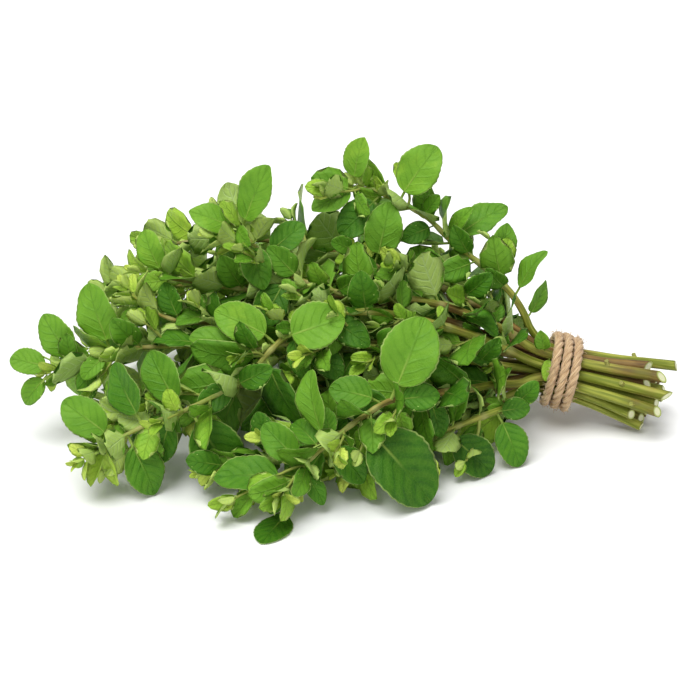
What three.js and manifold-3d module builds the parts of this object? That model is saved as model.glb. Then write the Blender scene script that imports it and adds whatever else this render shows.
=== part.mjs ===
// A bundle of fresh oregano: nineteen cut sprigs, tied with three turns of jute twine and laid on its side.
//
// Millimetres, +Z up. The cut ends point to +X, the leafy heads fan out to -X, and +Y is the back.
// Stems and leaves are placed from the tie outwards, and the last step moves the whole bundle so that
// the origin is at the middle of its foot.

import * as THREE from 'three';
import { mergeVertices } from 'three/addons/utils/BufferGeometryUtils.js';
import Module from 'manifold-3d';

const wasm = await Module();
wasm.setup();

// ---------------------------------------------------------------- driving dimensions

const TIE = new THREE.Vector3(72, 0, 19); // middle of the twine, on the bundle's axis
const BUTT = new THREE.Vector3(1, -0.12, -0.22).normalize(); // from the tie to the cut ends
const BACK = new THREE.Vector3(0, 1, 0).addScaledVector(BUTT, -BUTT.y).normalize();
const UP = new THREE.Vector3().crossVectors(BUTT, BACK); // square to the axis, away from the surface

const GAP = 0.35; // between neighbouring pieces
const CUT_RADIUS = 1.7; // a typical stem at its cut end
const TIP_RADIUS = 0.6; // every stem at its growing tip
const STEM_SIDES = 6;
const STEM_RINGS = 18;
const SEAT_PITCH = 2 * CUT_RADIUS + GAP; // stems are packed like a honeycomb inside the tie
const TIE_HALF = 9; // the stems run side by side for this far on each side of the tie's middle
const CUT_SPLAY = 1.5; // how much wider the bundle is at the cut ends than in the tie
const ROUTE_STEP = 5; // between the points of a stem's route
const EASING_PASSES = 120;

const TWINE_RADIUS = 1.6;
const TWINE_SIDES = 8;
const TWINE_TURNS = 3;
const TWINE_PITCH = 2 * TWINE_RADIUS + GAP;
const STEPS_A_TURN = 16;
const KNOT_RADIUS = 3.4; // of the loop that the knot is wound round
const KNOT_STEPS = 32;

const SURFACE_GAP = 0.02; // under everything but the leaf that lies flat

const LEAF_THICKNESS = 0.8;
const BLADE_WIDTH = 0.7; // a typical blade's, as a share of its length
const PETIOLE_WIDTH = 1.1;
const FOLD = 0.22; // how far the margins stand above the midrib, as a share of their distance from it
const ARCH = 0.06; // how far the middle of a leaf rises above its ends, as a share of its length
// Stations along a leaf: [share of its length, share of the blade's full width]. The first two end the petiole.
const LEAF_STATIONS = [[0, 0], [0.16, 0], [0.28, 0.72], [0.46, 1], [0.68, 0.88], [0.88, 0.5], [1, 0.12]];

// ---------------------------------------------------------------- the sprigs

// seat: [ring, degrees] in the tie, where 0 degrees is the back and 90 the top.
// cut: how far the stem stands out past the middle of the tie. thick: its girth beside a typical stem's.
// route: where the stem passes between the tie and its growing tip.
const SPRIGS = [
  {
    name: 'sprig_01', seat: [2, 60], cut: 38, thick: 1.05, // the highest one
    route: [[56, 9, 42], [44, 14, 53], [35, 17, 59], [27, 19, 67], [12, 21, 75], [0, 22, 79]],
  },
  {
    name: 'sprig_02', seat: [2, 90], cut: 29, thick: 1.1,
    route: [[55, 4, 34], [40, 8, 42], [25, 10, 49], [11, 10, 53], [0, 12, 60]],
  },
  {
    name: 'sprig_03', seat: [2, 120], cut: 34, thick: 1.15, // the long upper one
    route: [
      [55, -1, 33], [40, 1, 40], [23, 0, 46], [5, -2, 48],
      [-13, 0, 52], [-26, 3, 58], [-37, 8, 69], [-46, 10, 74],
    ],
  },
  {
    name: 'sprig_04', seat: [2, 150], cut: 37, thick: 1.1, // falls forward to the left
    route: [
      [52, -6, 31], [30, -9, 41], [4, -13, 48], [-21, -21, 44],
      [-31, -30, 35], [-51, -40, 27], [-69, -46, 22], [-87, -53, 14],
    ],
  },
  {
    name: 'sprig_05', seat: [2, 180], cut: 35, thick: 1.1, // comes straight to the front
    route: [
      [58, -9, 20], [50, -12, 21], [38, -22, 24], [26, -33, 28], [13, -43, 31],
      [3, -50, 28], [-7, -55, 22], [-15, -58, 15], [-20, -61, 9],
    ],
  },
  {
    name: 'sprig_06', seat: [2, 210], cut: 27, thick: 1, // low on the right
    route: [[58, -12, 15], [46, -26, 17], [30, -33, 14], [12, -42, 11], [-4, -52, 10]],
  },
  {
    name: 'sprig_07', seat: [2, 240], cut: 31, thick: 0.95, // low at the front
    route: [[52, -6, 12], [25, -18, 12], [0, -32, 12], [-25, -44, 11], [-48, -52, 10]],
  },
  {
    name: 'sprig_08', seat: [0, 0], cut: 36, thick: 1, // the longest one
    route: [
      [50, -1, 23], [20, -4, 31], [-15, -8, 35], [-53, -14, 36],
      [-76, -13, 34], [-94, -14, 28], [-101, -15, 26],
    ],
  },
  {
    name: 'sprig_09', seat: [1, 60], cut: 33, thick: 1,
    route: [[50, 3, 30], [20, 6, 40], [-10, 7, 45], [-34, 6, 47], [-56, 5, 51], [-72, 5, 54]],
  },
  {
    name: 'sprig_10', seat: [1, 120], cut: 30, thick: 0.95,
    route: [
      [50, -2, 28], [20, -1, 36], [-15, -2, 39], [-46, -5, 40],
      [-58, -7, 42], [-67, -6, 46], [-75, -4, 53],
    ],
  },
  {
    name: 'sprig_11', seat: [1, 180], cut: 34, thick: 0.95,
    route: [[48, -8, 26], [20, -14, 34], [-5, -18, 39], [-21, -21, 40], [-33, -24, 39], [-42, -26, 35]],
  },
  {
    name: 'sprig_12', seat: [2, 30], cut: 30, thick: 1, // high at the back
    route: [[50, 12, 30], [20, 26, 42], [-15, 36, 50], [-50, 40, 50], [-72, 42, 46]],
  },
  {
    name: 'sprig_13', seat: [2, 0], cut: 35, thick: 1.05,
    route: [[50, 14, 24], [20, 32, 30], [-12, 46, 34], [-40, 54, 32], [-62, 58, 26]],
  },
  {
    name: 'sprig_14', seat: [2, 330], cut: 28, thick: 0.95, // low at the back
    route: [[50, 13, 17], [20, 28, 16], [-8, 42, 13], [-30, 50, 10]],
  },
  {
    name: 'sprig_15', seat: [2, 300], cut: 33, thick: 1,
    route: [[50, 7, 12], [15, 18, 13], [-25, 28, 14], [-55, 34, 12], [-78, 36, 10]],
  },
  {
    name: 'sprig_16', seat: [2, 270], cut: 32, thick: 1.05, // along the surface
    route: [[50, 1, 12], [15, 2, 13], [-25, 0, 14], [-60, -4, 13], [-88, -8, 10]],
  },
  {
    name: 'sprig_17', seat: [1, 0], cut: 37, thick: 1,
    route: [[50, 6, 25], [15, 14, 36], [-25, 20, 42], [-60, 24, 40], [-88, 26, 34]],
  },
  {
    name: 'sprig_18', seat: [1, 300], cut: 29, thick: 0.95,
    route: [[50, 4, 18], [15, 9, 24], [-30, 12, 27], [-65, 14, 25], [-92, 14, 20]],
  },
  {
    name: 'sprig_19', seat: [1, 240], cut: 32, thick: 0.95,
    route: [[50, -4, 17], [15, -10, 22], [-25, -18, 25], [-58, -26, 22], [-82, -32, 15]],
  },
];

// The big leaves that stand clear of the rest. The smaller ones between them belong to the fine model.
// at: share of the stem's length from its cut end. tip: from the leaf's base to its tip.
// face: which way the upper side looks. wide: the blade's width beside a typical one's.
const LEAVES = {
  sprig_01: [
    { at: 0.99, tip: [3, 0, 16], face: [-6, -8, 1] },
    { at: 0.98, tip: [-15, -4, -6], face: [-2, -6, 8] },
    { at: 0.87, tip: [12, 2, 18], face: [-3, -9, 3], wide: 1.05 },
    { at: 0.92, tip: [-15, -7, -8], face: [1, -8, 6] },
    { at: 0.7, tip: [18, 6, 9], face: [-2, -6, 8], wide: 0.85 },
    { at: 0.58, tip: [5, 3, 15], face: [3, -9, 2] },
    { at: 0.49, tip: [9, 2, 15], face: [-8, -4, 5], wide: 0.85 },
  ],
  sprig_02: [
    { at: 0.91, tip: [1, 5, 20], face: [0, -9, 3] },
    { at: 0.86, tip: [14, -9, -14], face: [2, -7, 6], wide: 1.1 },
    { at: 0.88, tip: [-15, -2, 2], face: [0, -6, 8] },
  ],
  sprig_03: [
    { at: 0.9, tip: [5, -9, -13], face: [-1, -8, 6] },
    { at: 0.86, tip: [12, 4, 9], face: [0, -8, 6] },
    { at: 0.93, tip: [9, 1, 22], face: [-6, -8, 2], wide: 0.85 },
    { at: 0.94, tip: [-16, 3, 4], face: [-1, -6, 8] },
    { at: 0.8, tip: [-9, -8, -15], face: [-1, -8, 5] },
  ],
  sprig_04: [
    { at: 0.64, tip: [20, 2, 6], face: [0, -7, 7], wide: 1.25 },
    { at: 0.65, tip: [-19, 4, 8], face: [0, -8, 6] },
    { at: 0.89, tip: [-9, 12, 15], face: [-6, -7, 3] },
    { at: 0.83, tip: [-10, 10, 15], face: [-4, -8, 4] },
    { at: 0.94, tip: [-16, 6, 10], face: [-1, -8, 6] },
    { at: 0.82, tip: [10, -3, -25], face: [3, -9, 2] },
    { at: 0.92, tip: [8, -3, -19], face: [4, -9, 3] },
  ],
  sprig_05: [
    { at: 0.7, tip: [10, 10, 23], face: [0, -9, 5], wide: 1.1 },
    { at: 0.73, tip: [-16, 2, 3], face: [0, -7, 7], wide: 1.1 },
    { at: 0.79, tip: [22, -7, -25], face: [3, -8, 5], wide: 1 },
    { at: 0.87, tip: [-5, 7, 21], face: [-7, -7, 1], wide: 0.8 },
    { at: 0.94, tip: [-12, 7, 10], face: [-2, -8, 5] },
    { at: 1, tip: [-8, -19, -9], face: [0, 0, 1], lies: true },
    { at: 0.98, tip: [-24, 0, 0], face: [0, -5, 8], wide: 0.85 },
  ],
  sprig_06: [
    { at: 0.66, tip: [14, -4, -12], face: [2, -8, 5], wide: 1.1 },
    { at: 0.5, tip: [6, -5, -16], face: [3, -9, 3] },
  ],
  sprig_08: [
    { at: 0.95, tip: [-11, 8, 13], face: [-3, -8, 4] },
    { at: 0.99, tip: [-14, 3, 2], face: [-2, -7, 7] },
    { at: 0.89, tip: [-7, 6, 21], face: [-3, -9, 2] },
  ],
  sprig_09: [
    { at: 0.95, tip: [-6, 4, 14], face: [-3, -9, 2] },
  ],
  sprig_12: [
    { at: 0.8, tip: [-8, 12, 15], face: [-2, 8, -4] },
  ],
  sprig_13: [
    { at: 0.93, tip: [-12, 14, -8], face: [2, 6, 7] },
    { at: 0.72, tip: [12, 17, -2], face: [1, 4, 8] },
  ],
  sprig_14: [
    { at: 0.92, tip: [-10, 17, -11], face: [-1, 5, 8] },
  ],
};

// ---------------------------------------------------------------- materials

const stemMaterial = new THREE.MeshStandardMaterial({ name: 'stem', color: 0x8c9a4a, roughness: 0.6, metalness: 0 });
const leafMaterial = new THREE.MeshStandardMaterial({ name: 'leaf', color: 0x4c8a2b, roughness: 0.55, metalness: 0 });
const twineMaterial = new THREE.MeshStandardMaterial({ name: 'twine', color: 0xb98a62, roughness: 0.95, metalness: 0 });

// ---------------------------------------------------------------- the stems' routes

// A place in the tie's cross-section, as an offset from its axis.
function seatOffset([ring, degrees]) {
  const onFlat = ring === 2 && degrees % 60 !== 0;
  const radius = (onFlat ? Math.sqrt(3) : ring) * SEAT_PITCH;
  const angle = THREE.MathUtils.degToRad(degrees);
  return new THREE.Vector3()
    .addScaledVector(BACK, radius * Math.cos(angle))
    .addScaledVector(UP, radius * Math.sin(angle));
}

// Points every few millimetres from the cut end, through the tie, to the growing tip.
function stemRoute({ seat, cut, route }) {
  const offset = seatOffset(seat);
  const along = (distance, splay = 1) => TIE.clone().addScaledVector(BUTT, distance).addScaledVector(offset, splay);
  const corners = [
    along(cut, CUT_SPLAY), along(TIE_HALF), along(-TIE_HALF), ...route.map((p) => new THREE.Vector3(...p)),
  ];
  const curve = new THREE.CatmullRomCurve3(corners, false, 'centripetal');
  return curve.getSpacedPoints(Math.round(curve.getLength() / ROUTE_STEP));
}

// A stem thins from its cut end to its tip, where share runs from 0 to 1.
function stemRadius(stem, share) {
  return THREE.MathUtils.lerp(CUT_RADIUS * stem.thick, TIP_RADIUS, share);
}

// Where two routes come too close, both give way; none goes below the surface.
// The shifts are smoothed along each stem, so that a stem bends and never kinks.
function easeApart(stems) {
  const segment = new THREE.Line3();
  const nearest = new THREE.Vector3();
  const push = new THREE.Vector3();
  for (let pass = 0; pass < EASING_PASSES; pass++) {
    for (const stem of stems) {
      stem.points = stem.start.map((p, k) => p.clone().add(stem.shift[k]));
    }
    stems.forEach((a, index) => {
      for (const b of stems.slice(index + 1)) {
        a.points.forEach((p, k) => {
          for (let j = 0; j + 1 < b.points.length; j++) {
            segment.set(b.points[j], b.points[j + 1]).closestPointToPoint(p, true, nearest);
            const room = stemRadius(a, k / (a.points.length - 1)) + stemRadius(b, j / (b.points.length - 1)) + 2 * GAP;
            const distance = nearest.distanceTo(p);
            if (distance >= room) continue;
            push.subVectors(p, nearest).setLength(Math.max(0.25 * (room - distance), 1e-3));
            a.shift[k].add(push);
            b.shift[j].sub(push);
          }
        });
      }
    });
    for (const stem of stems) {
      const last = stem.shift.length - 1;
      stem.shift = stem.shift.map((shift, k) => {
        const around = stem.shift[Math.max(k - 1, 0)].clone().add(stem.shift[Math.min(k + 1, last)]).multiplyScalar(0.5);
        const eased = shift.clone().lerp(around, 0.35);
        eased.z = Math.max(eased.z, stemRadius(stem, k / last) - stem.start[k].z);
        return eased;
      });
    }
  }
}

// ---------------------------------------------------------------- solids

// A unit cylinder bent along a curve: y runs along it from the cut end, x and z lie across it.
function stemGeometry(stem) {
  const geometry = new THREE.CylinderGeometry(TIP_RADIUS, CUT_RADIUS * stem.thick, 1, STEM_SIDES, STEM_RINGS);
  const { normals, binormals } = stem.curve.computeFrenetFrames(STEM_RINGS);
  const position = geometry.getAttribute('position');
  const v = new THREE.Vector3();
  for (let i = 0; i < position.count; i++) {
    v.fromBufferAttribute(position, i);
    const share = v.y + 0.5;
    const ring = Math.round(share * STEM_RINGS);
    const bent = stem.curve.getPointAt(share).addScaledVector(normals[ring], v.x).addScaledVector(binormals[ring], -v.z);
    position.setXYZ(i, bent.x, bent.y, bent.z);
  }
  return geometry;
}

// The twine's line round the stems, with both ends at the back.
class TwineTurns extends THREE.Curve {
  constructor(radius) {
    super();
    this.radius = radius;
  }

  getPoint(share, target = new THREE.Vector3()) {
    const angle = 2 * Math.PI * TWINE_TURNS * share;
    return target
      .copy(TIE)
      .addScaledVector(BUTT, (share - 0.5) * TWINE_TURNS * TWINE_PITCH)
      .addScaledVector(BACK, this.radius * Math.cos(angle))
      .addScaledVector(UP, this.radius * Math.sin(angle));
  }
}

function twineTurnsGeometry(radius) {
  const section = new THREE.Shape().absarc(0, 0, TWINE_RADIUS, 0, 2 * Math.PI);
  return new THREE.ExtrudeGeometry(section, {
    steps: STEPS_A_TURN * TWINE_TURNS,
    curveSegments: TWINE_SIDES / 2, // a whole circle gets twice as many
    extrudePath: new TwineTurns(radius),
  });
}

// A knot at the back of the tie, lying flat against the turns.
function twineKnotGeometry(radius) {
  const geometry = new THREE.TorusKnotGeometry(KNOT_RADIUS, TWINE_RADIUS * 0.95, KNOT_STEPS, TWINE_SIDES);
  const reach = radius + 2 * TWINE_RADIUS + GAP + KNOT_RADIUS / 2;
  const centre = TIE.clone().addScaledVector(BACK, reach);
  return geometry.applyMatrix4(new THREE.Matrix4().makeBasis(UP, BUTT, BACK).setPosition(centre));
}

// A leaf along +x with its base at the origin, its upper side to +z and its underside's midrib on z = 0.
// Its base is raised by lift.
function leafGeometry({ length, wide = 1, fold = FOLD, arch = ARCH, lift = 0 }) {
  const last = LEAF_STATIONS.length - 1;
  const geometry = new THREE.BoxGeometry(1, 1, 1, last, 2, 1);
  const position = geometry.getAttribute('position');
  for (let i = 0; i < position.count; i++) {
    const [share, fullness] = LEAF_STATIONS[Math.round((position.getX(i) + 0.5) * last)];
    const width = Math.max(PETIOLE_WIDTH, fullness * wide * BLADE_WIDTH * length);
    const y = position.getY(i) * width;
    const middle = arch * length * Math.sin(Math.PI * share) + (share === 0 ? lift : 0);
    const z = middle + fold * Math.abs(y) + (position.getZ(i) + 0.5) * LEAF_THICKNESS;
    position.setXYZ(i, share * length, y, z);
  }
  return geometry;
}

function solidOf(geometry) {
  const bare = new THREE.BufferGeometry().setIndex(geometry.getIndex());
  bare.setAttribute('position', geometry.getAttribute('position').clone());
  const { index, attributes } = mergeVertices(bare);
  const mesh = new wasm.Mesh({
    numProp: 3,
    vertProperties: attributes.position.array,
    triVerts: new Uint32Array(index.array),
  });
  return new wasm.Manifold(mesh);
}

// Small turns about a leaf's base, the least first.
function smallTurns() {
  const steps = [0, 9, -9, 18, -18, 27, -27, 36, -36];
  const turns = steps.flatMap((x) => steps.flatMap((y) => steps.map((z) => [x, y, z])));
  return turns
    .sort((a, b) => Math.hypot(...a) - Math.hypot(...b))
    .map((turn) => new THREE.Matrix4().makeRotationFromEuler(new THREE.Euler(...turn.map(THREE.MathUtils.degToRad))));
}

// A leaf stands on its stem and is turned no more than it takes to clear everything placed before it.
function placeLeaf(stem, { at, tip, face, wide, lies }, placed, turns) {
  const reach = new THREE.Vector3(...tip);
  const tangent = stem.curve.getTangentAt(at);
  const outwards = reach.clone().normalize().add(new THREE.Vector3(...face).setLength(0.4));
  outwards.addScaledVector(tangent, -outwards.dot(tangent)).normalize();
  const stand = stemRadius(stem, at) + GAP + PETIOLE_WIDTH / 2;
  const base = stem.curve.getPointAt(at).addScaledVector(outwards, stand);
  const shape = { length: reach.length(), wide };
  if (lies) {
    Object.assign(shape, { fold: 0, arch: 0, lift: base.z, length: Math.hypot(reach.x, reach.y) });
    reach.z = base.z = 0;
  }
  const x = reach.normalize();
  const y = new THREE.Vector3(...face).cross(x).normalize();
  const seat = new THREE.Matrix4().makeBasis(x, y, x.clone().cross(y)).setPosition(base);
  for (const turn of lies ? turns.slice(0, 1) : turns) {
    const geometry = leafGeometry(shape).applyMatrix4(seat.clone().multiply(turn));
    geometry.computeBoundingBox();
    if (geometry.boundingBox.min.z < (lies ? 0 : SURFACE_GAP)) continue;
    const near = geometry.boundingBox.clone().expandByScalar(GAP);
    const solid = solidOf(geometry);
    if (placed.every((other) => !near.intersectsBox(other.box) || other.solid.minGap(solid, 1) > 0.9 * GAP)) {
      return geometry;
    }
    solid.delete();
  }
  return null;
}

// ---------------------------------------------------------------- the bundle

const bundle = new THREE.Group();
bundle.name = 'oregano_bundle';
const placed = [];

function add(name, geometry, material) {
  const mesh = new THREE.Mesh(geometry, material);
  mesh.name = name;
  bundle.add(mesh);
  geometry.computeBoundingBox();
  placed.push({ name, box: geometry.boundingBox, solid: solidOf(geometry) });
}

const stems = SPRIGS.map((sprig) => {
  const start = stemRoute(sprig);
  return { ...sprig, start, shift: start.map(() => new THREE.Vector3()) };
});
easeApart(stems);
for (const stem of stems) {
  stem.curve = new THREE.CatmullRomCurve3(stem.points, false, 'centripetal');
  add(`${stem.name}_stem`, stemGeometry(stem), stemMaterial);
}

const stemsReach = Math.max(...stems.map(({ seat, thick }) => seatOffset(seat).length() + CUT_RADIUS * thick));
const turnsRadius = stemsReach + GAP + TWINE_RADIUS;
add('twine_turns', twineTurnsGeometry(turnsRadius), twineMaterial);
add('twine_knot', twineKnotGeometry(turnsRadius), twineMaterial);

const turns = smallTurns();
const crowded = [];
for (const stem of stems) {
  (LEAVES[stem.name] ?? []).forEach((leaf, k) => {
    const name = `${stem.name}_leaf_${k + 1}`;
    const geometry = placeLeaf(stem, leaf, placed, turns);
    if (geometry) add(name, geometry, leafMaterial);
    else crowded.push(name);
  });
}
if (crowded.length > 0) throw new Error(`no room for ${crowded.join(', ')}`);

// The origin goes to the middle of the bundle's foot.
const box = new THREE.Box3().setFromObject(bundle);
bundle.position.set(-(box.min.x + box.max.x) / 2, -(box.min.y + box.max.y) / 2, -box.min.z);

export default bundle;
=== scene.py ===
# %% [markdown]
# # A bunch of fresh oregano, tied with jute twine
# Nineteen cut sprigs lie on their side. Each is a stem with pairs of leaves that cross each other, small
# shoots where the leaves join the stem, and a tuft of young leaves at its tip. Three turns of twine hold them.
# The solid frame gives the stems' lines, the big leaves' places and the tie; this script makes the surfaces.

import math

import bmesh
import bpy
import numpy as np
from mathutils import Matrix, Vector
from mathutils.bvhtree import BVHTree


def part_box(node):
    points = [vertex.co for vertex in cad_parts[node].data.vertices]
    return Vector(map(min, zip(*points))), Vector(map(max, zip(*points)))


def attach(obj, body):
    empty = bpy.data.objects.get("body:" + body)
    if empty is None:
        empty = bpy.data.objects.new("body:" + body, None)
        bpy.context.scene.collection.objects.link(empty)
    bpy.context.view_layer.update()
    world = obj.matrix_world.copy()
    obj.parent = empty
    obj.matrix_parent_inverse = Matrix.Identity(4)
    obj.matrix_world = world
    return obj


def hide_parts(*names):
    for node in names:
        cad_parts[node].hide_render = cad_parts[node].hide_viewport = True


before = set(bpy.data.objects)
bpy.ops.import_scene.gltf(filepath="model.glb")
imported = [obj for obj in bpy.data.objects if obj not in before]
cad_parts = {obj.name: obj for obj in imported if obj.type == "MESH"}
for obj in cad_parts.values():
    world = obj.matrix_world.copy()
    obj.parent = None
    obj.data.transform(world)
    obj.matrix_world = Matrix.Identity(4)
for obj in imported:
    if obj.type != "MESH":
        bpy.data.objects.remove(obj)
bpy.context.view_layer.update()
MM = 0.001
print("the frame holds", len(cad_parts), "solids")


# %% [markdown]
# ## Small helpers
# Colours are written as the usual hex values and turned into the linear light that a renderer works in.
# One function adds a node to any tree, with its settings and whatever is plugged into it.

# %% Colours and nodes
def linear(hex_colour):
    parts = [int(hex_colour[i : i + 2], 16) / 255 for i in (1, 3, 5)]
    return (*(c / 12.92 if c <= 0.04045 else ((c + 0.055) / 1.055) ** 2.4 for c in parts), 1.0)


def add(tree, kind, inputs=None, **settings):
    node = tree.nodes.new(kind)
    for name, value in settings.items():
        setattr(node, name, value)
    for socket, value in (inputs or {}).items():
        if isinstance(value, bpy.types.Node):
            value = value.outputs[0]
        if isinstance(value, bpy.types.NodeSocket):
            tree.links.new(value, node.inputs[socket])
        else:
            node.inputs[socket].default_value = value
    return node


def maths(tree, operation, *values, clamp=False):
    return add(tree, "ShaderNodeMath", dict(enumerate(values)), operation=operation, use_clamp=clamp)


def ease(tree, value, low, high, start=0.0, end=1.0):
    return add(tree, "ShaderNodeMapRange", {0: value, 1: low, 2: high, 3: start, 4: end},
        interpolation_type="SMOOTHSTEP")


def blend(tree, share, first, second, how="MIX"):
    mix = add(tree, "ShaderNodeMix", {0: share, 6: first, 7: second}, data_type="RGBA", blend_type=how)
    return mix.outputs[2]


def new_material(name, **uniform):
    material = bpy.data.materials.new(name)
    material.use_nodes = True
    shader = material.node_tree.nodes["Principled BSDF"]
    for socket, value in uniform.items():
        shader.inputs[socket.replace("_", " ")].default_value = value
    return material, material.node_tree, shader


# %% [markdown]
# ## Oregano leaf
# A grown leaf is mid to dark green, thin and slightly downy, so its shine is soft and broad.
# Its side veins are sunk into the upper side and the leaf swells between them; below, the veins stand out and
# the colour is a paler grey green. A young leaf is yellow green. Each leaf carries a map of how far along and
# across it a point is, a tone from old to young, and a mark for its underside. The veins are drawn from the
# map. On the upper side the sunken veins and the midrib are painted darker, as painted shade, and the
# swellings between them are painted lighter, as a painted highlight.

# %% Leaf material
SIDE_VEINS = 5.5  # on each side of the midrib
VEIN_RAKE = 0.27  # how far a side vein runs towards the tip on its way to the margin
PETIOLE = 0.14  # share of a leaf's length that is stalk


def leaf_material():
    material, tree, shader = new_material("oregano leaf, grown, downy", Roughness=0.5, IOR=1.4,
        Specular_IOR_Level=0.25)
    along_across = add(tree, "ShaderNodeSeparateXYZ", {0: add(tree, "ShaderNodeUVMap", uv_map="leaf_map")})
    along, across = along_across.outputs[0], along_across.outputs[1]
    tone = add(tree, "ShaderNodeAttribute", attribute_name="tone").outputs["Fac"]
    under = add(tree, "ShaderNodeAttribute", attribute_name="underside").outputs["Fac"]
    place = add(tree, "ShaderNodeTexCoord").outputs["Object"]

    blade = maths(tree, "DIVIDE", maths(tree, "SUBTRACT", along, PETIOLE), 1 - PETIOLE)
    side = maths(tree, "ABSOLUTE", maths(tree, "MULTIPLY_ADD", across, 2.0, -1.0))
    raked = maths(tree, "SUBTRACT", blade, maths(tree, "MULTIPLY", side, VEIN_RAKE))
    raked = maths(tree, "SUBTRACT", raked, maths(tree, "MULTIPLY", maths(tree, "MULTIPLY", side, side), 0.08))
    wander = add(tree, "ShaderNodeTexNoise", {"Vector": place, "Scale": 1 / (4 * MM), "Detail": 1.0})
    phase = maths(tree, "MULTIPLY_ADD", raked, SIDE_VEINS, maths(tree, "MULTIPLY", wander, 0.5))
    to_vein = maths(tree, "PINGPONG", phase, 0.5)
    vein = maths(tree, "MULTIPLY", ease(tree, to_vein, 0.16, 0.0), ease(tree, side, 1.0, 0.45, 0.0, 1.0))
    midrib = ease(tree, side, 0.075, 0.0)
    pale_rib = maths(tree, "MULTIPLY", midrib, ease(tree, blade, 0.6, 0.1))
    # Where the leaf swells between the veins; this mask is used only for a painted highlight.
    painted_pillow_highlight = ease(tree, to_vein, 0.08, 0.4)
    rim = ease(tree, side, 0.93, 0.985)
    stalk = ease(tree, along, PETIOLE + 0.04, PETIOLE - 0.03)

    # The finest veins enclose cells of about a millimetre.
    net = add(tree, "ShaderNodeTexVoronoi", {"Vector": place, "Scale": 1 / (1.1 * MM)},
        feature="DISTANCE_TO_EDGE")
    net = ease(tree, net, 0.0, 0.12)
    mottle = add(tree, "ShaderNodeTexNoise",
        {"Vector": place, "Scale": 1 / (5 * MM), "Detail": 3.0, "Roughness": 0.6})
    fine = add(tree, "ShaderNodeTexNoise", {"Vector": place, "Scale": 1 / (0.6 * MM), "Detail": 2.0})

    ramp = add(tree, "ShaderNodeValToRGB",
        {0: maths(tree, "ADD", tone, maths(tree, "MULTIPLY_ADD", mottle, 0.3, -0.15), clamp=True)})
    stops = [(0.0, "#1f4d08"), (0.3, "#427817"), (0.6, "#6fa12c"), (0.8, "#a3c840"), (1.0, "#d6e868")]
    for position, colour in stops[1:-1]:
        ramp.color_ramp.elements.new(position)
    for element, (position, colour) in zip(ramp.color_ramp.elements, stops):
        element.position, element.color = position, linear(colour)
    upper = blend(tree, maths(tree, "MULTIPLY", maths(tree, "SUBTRACT", 1.0, net), 0.14), ramp.outputs[0],
        linear("#6c9a2c"))
    # Painted highlight: the swellings between the side veins are painted a little lighter.
    upper = blend(tree, maths(tree, "MULTIPLY", painted_pillow_highlight, 0.06), upper, linear("#8fb83c"))
    # Painted shade: the sunken side veins and the midrib are painted darker on the upper side.
    upper = blend(tree, maths(tree, "MULTIPLY",
        maths(tree, "MAXIMUM", maths(tree, "MULTIPLY", vein, 0.6), midrib), 0.2), upper, linear("#2f5a10"))
    upper = blend(tree, maths(tree, "MULTIPLY", pale_rib, 0.6), upper, linear("#a4bf55"))
    upper = blend(tree, maths(tree, "MULTIPLY", rim, 0.75), upper, linear("#b4cf72"))
    lower = blend(tree, maths(tree, "MULTIPLY_ADD", tone, 0.8, 0.1), linear("#8cb060"), linear("#cbe270"))
    lower = blend(tree, maths(tree, "MULTIPLY", maths(tree, "MAXIMUM", vein, midrib), 0.7), lower,
        linear("#b9d389"))
    surface = blend(tree, under, upper, lower)
    surface = blend(tree, maths(tree, "MULTIPLY", stalk, 0.85), surface, linear("#94ac4c"))
    tree.links.new(surface, shader.inputs["Base Color"])

    relief = maths(tree, "MULTIPLY", maths(tree, "MAXIMUM", maths(tree, "MULTIPLY", vein, 0.6), midrib),
        maths(tree, "MULTIPLY_ADD", under, 2.0, -1.0))
    relief = maths(tree, "MULTIPLY_ADD", net, 0.25, relief)
    relief = maths(tree, "MULTIPLY_ADD", fine, 0.25, relief)
    relief = maths(tree, "MULTIPLY_ADD", mottle, 0.5, relief)
    bump = add(tree, "ShaderNodeBump", {"Strength": 0.75, "Distance": 0.26 * MM, "Height": relief})
    tree.links.new(bump.outputs[0], shader.inputs["Normal"])
    return material


LEAF = leaf_material()


# %% [markdown]
# ## Oregano stem and its cut end
# The stem is nearly square, ribbed and green, flushed with brown where the sun and age reach it. A fresh cut
# shows pale wet pith inside a green rim. The swept stem carries how far along and around it each point is.

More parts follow.
